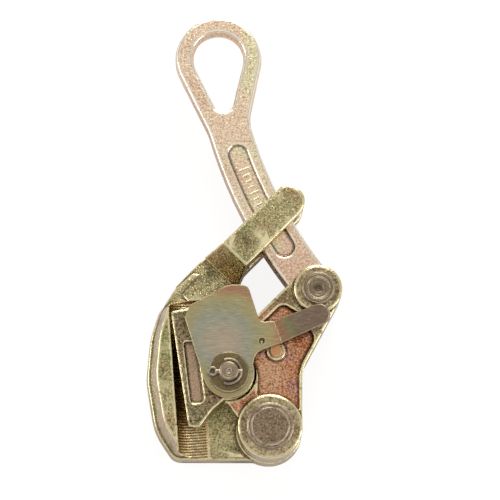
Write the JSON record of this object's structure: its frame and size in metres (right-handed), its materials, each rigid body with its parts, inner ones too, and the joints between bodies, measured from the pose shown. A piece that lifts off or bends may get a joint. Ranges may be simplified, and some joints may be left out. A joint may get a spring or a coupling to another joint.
{
  "type": "wire rope puller",
  "caption": "Forged come-along grip for pulling wire rope: fixed toothed jaw, moving jaw on a rocker, pulling bar with a teardrop eye, and a gate plate over the rope slot.",
  "frame": {"origin": "on the main pivot's axis, in the plane of the body's flat back face", "axes": "+Z from the back face to the front, along every pivot; +Y towards the pulling eye; +X away from the rope groove"},
  "size_m": [0.126, 0.2937, 0.0552],
  "materials": {
    "forged_body": "yellow zinc plating on a forged steel skin",
    "forged_rocker": "yellow zinc plating, reddish in the pocket",
    "forged_handle": "yellow zinc plating, pale gold and pink",
    "forged_jaw": "yellow zinc plating on a forged steel skin",
    "pressed_gate": "iridescent yellow zinc plating on sheet",
    "pin_steel": "turned, thin yellow zinc plating",
    "washer_steel": "turned, thin yellow zinc plating",
    "split_pin_steel": "drawn wire",
    "ball_steel": "polished"
  },
  "bodies": {
    "frame": {"body": "forged_body", "main_pivot_pin": "pin_steel", "main_pin_back_washer": "washer_steel"},
    "rocker_arm": {"rocker": "forged_rocker", "handle_pin": "pin_steel", "handle_pin_back_washer": "washer_steel", "jaw_pin": "pin_steel", "gate_spacer_washer": "washer_steel", "jaw_pin_washer": "washer_steel", "split_pin": "split_pin_steel", "gate_stop_stud": "pin_steel", "detent_ball": "ball_steel", "detent_spring": "ball_steel"},
    "pull_bar": {"pull_handle": "forged_handle"},
    "jaw": {"moving_jaw": "forged_jaw"},
    "gate": {"gate_plate": "pressed_gate"}
  },
  "joints": [
    {"name": "rocker_pivot", "type": "hinge", "parent": "frame", "child": "rocker_arm", "pos_m": [0, 0, 0.029], "axis": [0, 0, 1], "range_deg": [-28, 0]},
    {"name": "handle_pivot", "type": "hinge", "parent": "rocker_arm", "child": "pull_bar", "pos_m": [0.0309, 0.0889, 0.026], "axis": [0, 0, 1], "range_deg": [0, 43.4]},
    {"name": "jaw_pivot", "type": "hinge", "parent": "rocker_arm", "child": "jaw", "pos_m": [-0.0265, 0.0342, 0.026], "axis": [0, 0, 1], "range_deg": [0, 23.72]},
    {"name": "gate_pivot", "type": "hinge", "parent": "rocker_arm", "child": "gate", "pos_m": [-0.0265, 0.0342, 0.0415], "axis": [0, 0, 1], "range_deg": [0, 22]}
  ],
  "couplings": [
    {"joint": "handle_pivot", "follows": "rocker_pivot", "ratio": -1.55},
    {"joint": "jaw_pivot", "follows": "rocker_pivot", "ratio": -0.847}
  ]
}
